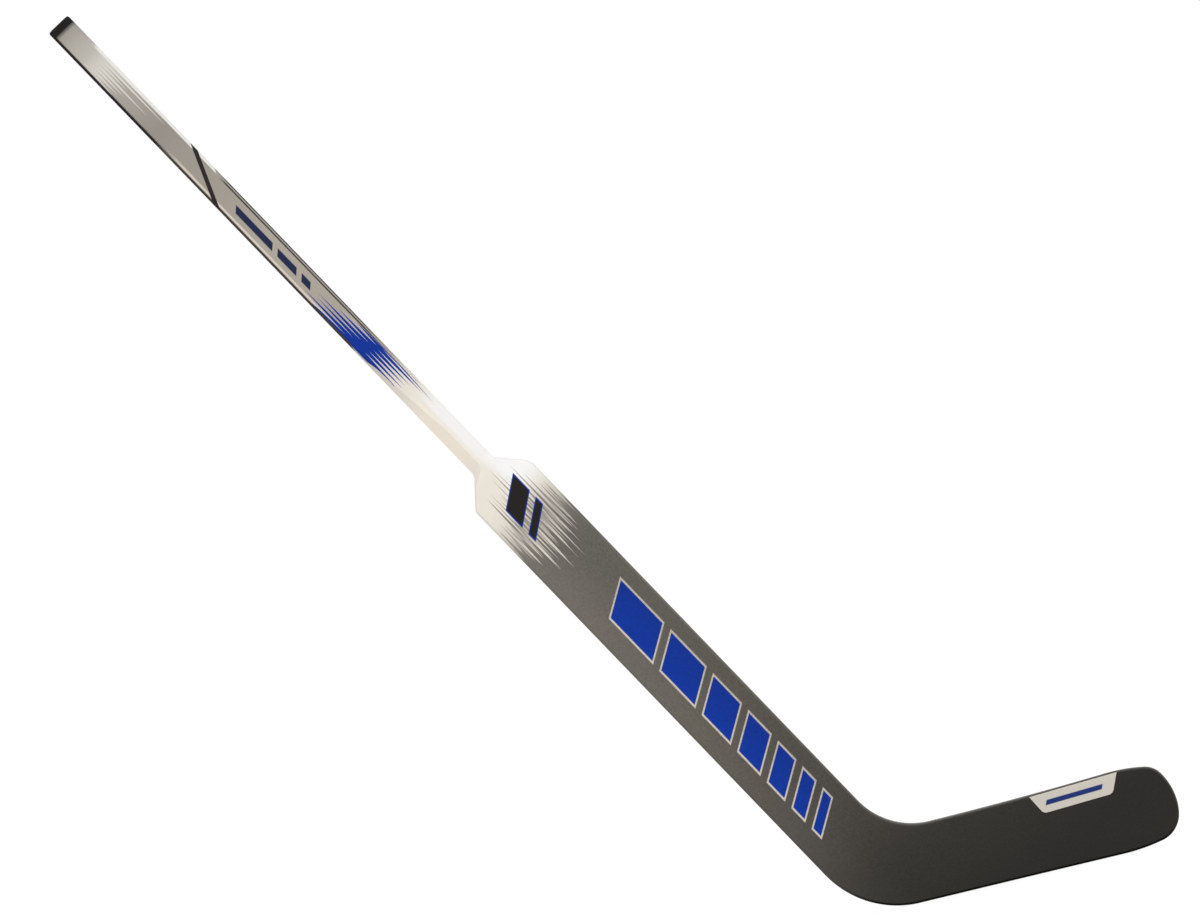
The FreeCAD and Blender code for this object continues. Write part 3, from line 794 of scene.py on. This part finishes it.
def painted_carbon():
    """Carbon laminate under sprayed paint and a satin coat: soft highlights, a faint fleck in the grey."""
    material, tree = new_material("satin_painted_carbon_laminate")
    place, down, across, back = stick_place(tree)

    # across the front, then on down the sides
    sideways = add(tree, "ShaderNodeMath", {0: across, 1: back}, operation="ADD").outputs[0]
    from_front = {0: sideways, 1: SHAFT_THICKNESS / 2}
    round_edge = add(tree, "ShaderNodeMath", from_front, operation="ADD").outputs[0]
    paint = shaft_coat(tree, down, across, round_edge)
    paint = shaft_lines(tree, paint, down, across, round_edge)
    paint = paddle_coat(tree, paint, down, across, round_edge)
    paint = plain_bars(tree, paint, down, across)
    # painted highlight along the upper rim, painted shade along the sole
    paint, sole_shade = paint_rim_highlight_and_shade(tree, paint, down)

    # the fleck is drawn about 2 mm wide, coarser than the real one, to show in the render
    grain = {"Vector": place, "Scale": 0.55, "Detail": 3.0, "Roughness": 0.65}
    fleck = add(tree, "ShaderNodeTexNoise", grain).outputs[0]
    grey = where(tree, (down, 700.0, 830.0))
    value = fleck_value(tree, fleck, grey, across)
    tint = add(tree, "ShaderNodeHueSaturation", {"Color": paint, "Value": value}).outputs["Color"]
    satin = {"Value": fleck, **NOISE_RANGE, "To Min": 0.36, "To Max": 0.48}
    relief = add(tree, "ShaderNodeMath", {0: grey, 1: 0.045, 2: 0.015}, operation="MULTIPLY_ADD").outputs[0]
    bump = add(tree, "ShaderNodeBump", {"Height": fleck, "Strength": relief, "Distance": 0.0004})
    # less gloss where the sole's painted shade lies, so that it stays dark
    gloss = add(tree, "ShaderNodeMath", {0: sole_shade, 1: -0.14, 2: 0.14}, operation="MULTIPLY_ADD").outputs[0]
    shader = add(tree, "ShaderNodeBsdfPrincipled", {
        "Base Color": tint,
        "Roughness": add(tree, "ShaderNodeMapRange", satin).outputs["Result"],
        "IOR": 1.5,
        "Specular IOR Level": gloss,
        "Normal": bump.outputs[0],
    })
    add(tree, "ShaderNodeOutputMaterial", {"Surface": shader.outputs[0]})
    return material


def moulded_plastic():
    """Black polypropylene from a textured mould: dull, with a fine even grain."""
    material, tree = new_material("moulded_black_polypropylene")
    texture = {"Vector": stick_place(tree)[0], "Scale": 1.2, "Detail": 4.0, "Roughness": 0.6}
    grain = add(tree, "ShaderNodeTexNoise", texture).outputs[0]
    shade = add(tree, "ShaderNodeMapRange", {"Value": grain, **NOISE_RANGE}).outputs["Result"]
    dull = {"Value": grain, **NOISE_RANGE, "To Min": 0.45, "To Max": 0.62}
    bump = add(tree, "ShaderNodeBump", {"Height": grain, "Strength": 0.25, "Distance": 0.0002})
    shader = add(tree, "ShaderNodeBsdfPrincipled", {
        "Base Color": coat(tree, colour("#0d0c0b"), colour("#161513"), shade),
        "Roughness": add(tree, "ShaderNodeMapRange", dull).outputs["Result"],
        "IOR": 1.49,
        "Specular IOR Level": 0.14,
        "Normal": bump.outputs[0],
    })
    add(tree, "ShaderNodeOutputMaterial", {"Surface": shader.outputs[0]})
    return material


def label_film():
    """Printed polyester film: smooth and slightly glossy, pale with one plain blue rule."""
    material, tree = new_material("printed_polyester_film")
    top_right = Vector((LABEL_TOP_RIGHT[0], 0.0, LABEL_TOP_RIGHT[1]))
    place, along, up, _ = place_from(tree, top_right, LABEL_TILT)
    mottle = add(tree, "ShaderNodeTexNoise", {"Vector": place, "Scale": 0.25, "Detail": 3.0}).outputs[0]
    film = coat(tree, colour("#cec8bc"), colour("#d6d0c5"), mottle)
    length = within(tree, leaning(tree, along, up, -0.5), -78.0, -14.0)
    film = coat(tree, film, colour("#062770"), length, within(tree, up, -13.5, -8.0))
    shader = add(tree, "ShaderNodeBsdfPrincipled", {
        "Base Color": film,
        "Roughness": 0.32,
        "IOR": 1.57,
        "Specular IOR Level": 0.2,
    })
    add(tree, "ShaderNodeOutputMaterial", {"Surface": shader.outputs[0]})
    return material


def cut_foam():
    """Closed-cell foam, sawn: pale, dull and pitted by cells about a millimetre wide."""
    material, tree = new_material("closed_cell_foam")
    pattern = {"Vector": stick_place(tree)[0], "Scale": 0.9}
    cells = add(tree, "ShaderNodeTexVoronoi", pattern).outputs["Distance"]
    bump = add(tree, "ShaderNodeBump", {"Height": cells, "Strength": 0.5, "Distance": 0.0006})
    shader = add(tree, "ShaderNodeBsdfPrincipled", {
        "Base Color": coat(tree, colour("#cfc5a6"), colour("#ece4cd"), cells),
        "Roughness": 0.85,
        "IOR": 1.45,
        "Normal": bump.outputs[0],
    })
    add(tree, "ShaderNodeOutputMaterial", {"Surface": shader.outputs[0]})
    return material


def bare_carbon():
    """Woven carbon in clear resin: a dark weave of 2 mm tows, glossy where the resin is thick."""
    material, tree = new_material("woven_carbon_laminate")
    pattern = {"Vector": stick_place(tree)[0], "Scale": 0.5}
    weave = add(tree, "ShaderNodeTexChecker", pattern).outputs["Fac"]
    bump = add(tree, "ShaderNodeBump", {"Height": weave, "Strength": 0.3, "Distance": 0.0003})
    shader = add(tree, "ShaderNodeBsdfPrincipled", {
        "Base Color": coat(tree, colour("#17171a"), colour("#2b2c30"), weave),
        "Roughness": 0.35,
        "IOR": 1.55,
        "Coat Weight": 0.4,
        "Normal": bump.outputs[0],
    })
    add(tree, "ShaderNodeOutputMaterial", {"Surface": shader.outputs[0]})
    return material


# Stage
PHOTO_SIZE = (1200.0, 922.0)
MM_PER_PIXEL = 1.10
PHOTO_CENTRE = (-346.4, 554.8)   # what the middle of the photograph shows, across and up
PHOTO_ROLL = 13.63               # degrees by which the sole rises to the right
LENS = 200.0
SENSOR = 36.0
VIEW_REACH = 20.0                # how far the camera sees, in camera distances
SUN_ANGLE = 40.0                 # degrees; the wider, the softer the shadow
FLOOR_SIZE = 80.0                # metres
FLOOR_DROP = 0.0005              # metres below the sole
WHITE = (1.0, 1.0, 1.0, 1.0)
FLOOR_WHITE = (0.8, 0.8, 0.8, 1.0)
FLOOR_GLOW = 0.8                 # how much of the floor's white is its own, so that shadows stay soft


def build_camera():
    """A long lens square to the stick's face, rolled as the photograph is."""
    data = bpy.data.cameras.new("camera")
    data.sensor_fit = "HORIZONTAL"
    data.sensor_width = SENSOR
    data.lens = LENS
    width = PHOTO_SIZE[0] * MM_PER_PIXEL * MM
    distance = width * LENS / SENSOR
    data.clip_end = distance * VIEW_REACH
    camera = bpy.data.objects.new("camera", data)
    bpy.context.scene.collection.objects.link(camera)
    right = heading(-PHOTO_ROLL)
    up = heading(90.0 - PHOTO_ROLL)
    turned = Matrix((right, up, -DEPTH)).transposed().to_4x4()
    centre = Vector((PHOTO_CENTRE[0], 0.0, PHOTO_CENTRE[1])) * MM
    camera.matrix_world = Matrix.Translation(centre - DEPTH * distance) @ turned
    bpy.context.scene.camera = camera


def add_sun(name, towards, strength):
    """A wide, soft light from one direction, even over the whole scene."""
    data = bpy.data.lights.new(name, "SUN")
    data.energy = strength
    data.angle = math.radians(SUN_ANGLE)
    lamp = bpy.data.objects.new(name, data)
    bpy.context.scene.collection.objects.link(lamp)
    lamp.rotation_mode = "QUATERNION"
    lamp.rotation_quaternion = Vector(towards).to_track_quat("Z", "Y")


def eye_rays(tree):
    """1 where the camera, a mirror or glass looks, 0 for the rays that carry light."""
    path = add(tree, "ShaderNodeLightPath")
    seen = path.outputs["Is Camera Ray"]
    for other in ("Is Glossy Ray", "Is Transmission Ray"):
        either = {0: seen, 1: path.outputs[other]}
        seen = add(tree, "ShaderNodeMath", either, operation="MAXIMUM").outputs[0]
    return seen


def build_world():
    """White all round to the eye, and an even soft light."""
    world = bpy.data.worlds.new("studio")
    bpy.context.scene.world = world
    world.use_nodes = True
    tree = world.node_tree
    tree.nodes.clear()
    soft = add(tree, "ShaderNodeBackground", {"Color": WHITE, "Strength": 0.48})
    white = add(tree, "ShaderNodeBackground", {"Color": WHITE, "Strength": 1.0})
    shown = add(tree, "ShaderNodeMixShader", {0: eye_rays(tree), 1: soft.outputs[0], 2: white.outputs[0]})
    add(tree, "ShaderNodeOutputWorld", {"Surface": shown.outputs[0]})


def build_floor():
    """Plain white floor under the sole that keeps a soft shadow and can be looked through from below."""
    bpy.ops.object.select_all(action="DESELECT")
    bpy.ops.mesh.primitive_plane_add(size=FLOOR_SIZE, location=(0.0, 0.0, -FLOOR_DROP))
    floor = bpy.context.active_object
    floor.name = "floor"
    bpy.ops.object.transform_apply(location=True)
    material, tree = new_material("matt_white_floor")
    matt = add(tree, "ShaderNodeBsdfDiffuse", {"Color": FLOOR_WHITE})
    glow = add(tree, "ShaderNodeEmission", {"Color": WHITE, "Strength": 1.13})
    bright = add(tree, "ShaderNodeMixShader", {0: FLOOR_GLOW, 1: matt.outputs[0], 2: glow.outputs[0]})
    shown = add(tree, "ShaderNodeMixShader", {0: eye_rays(tree), 1: matt.outputs[0], 2: bright.outputs[0]})
    below = add(tree, "ShaderNodeNewGeometry").outputs["Backfacing"]
    clear = add(tree, "ShaderNodeBsdfTransparent")
    one_sided = add(tree, "ShaderNodeMixShader", {0: below, 1: shown.outputs[0], 2: clear.outputs[0]})
    add(tree, "ShaderNodeOutputMaterial", {"Surface": one_sided.outputs[0]})
    floor.data.materials.append(material)


def build_stage():
    """Camera, white surroundings, and soft lights from the upper right, the left and behind."""
    bpy.context.scene.view_settings.view_transform = "Standard"
    build_camera()
    build_world()
    build_floor()
    add_sun("key", (0.50, -0.68, 0.55), 0.92)
    add_sun("fill", (-0.50, -0.80, 0.20), 0.78)
    add_sun("rear", (-0.40, 0.80, 0.50), 0.9)


# The pieces inside keep their solids' shape
CARBON_NODES = ("paddle_spar", "blade_bridge")
FOAM_NODES = (
    "paddle_core_heel_side", "paddle_core_toe_side", "heel_core", "blade_core_lower", "blade_core_upper",
)


def dress_nodes(names, material):
    """Gives the solids of some nodes a material."""
    for name in names:
        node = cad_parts[name]
        node.data.materials.clear()
        node.data.materials.append(material)


def main():
    paint = painted_carbon()
    build_shaft(paint)
    build_butt_plug(moulded_plastic())
    skin = build_skin(paint)
    build_label(label_film(), skin)
    dress_nodes(FOAM_NODES, cut_foam())
    dress_nodes(CARBON_NODES, bare_carbon())
    build_stage()


main()
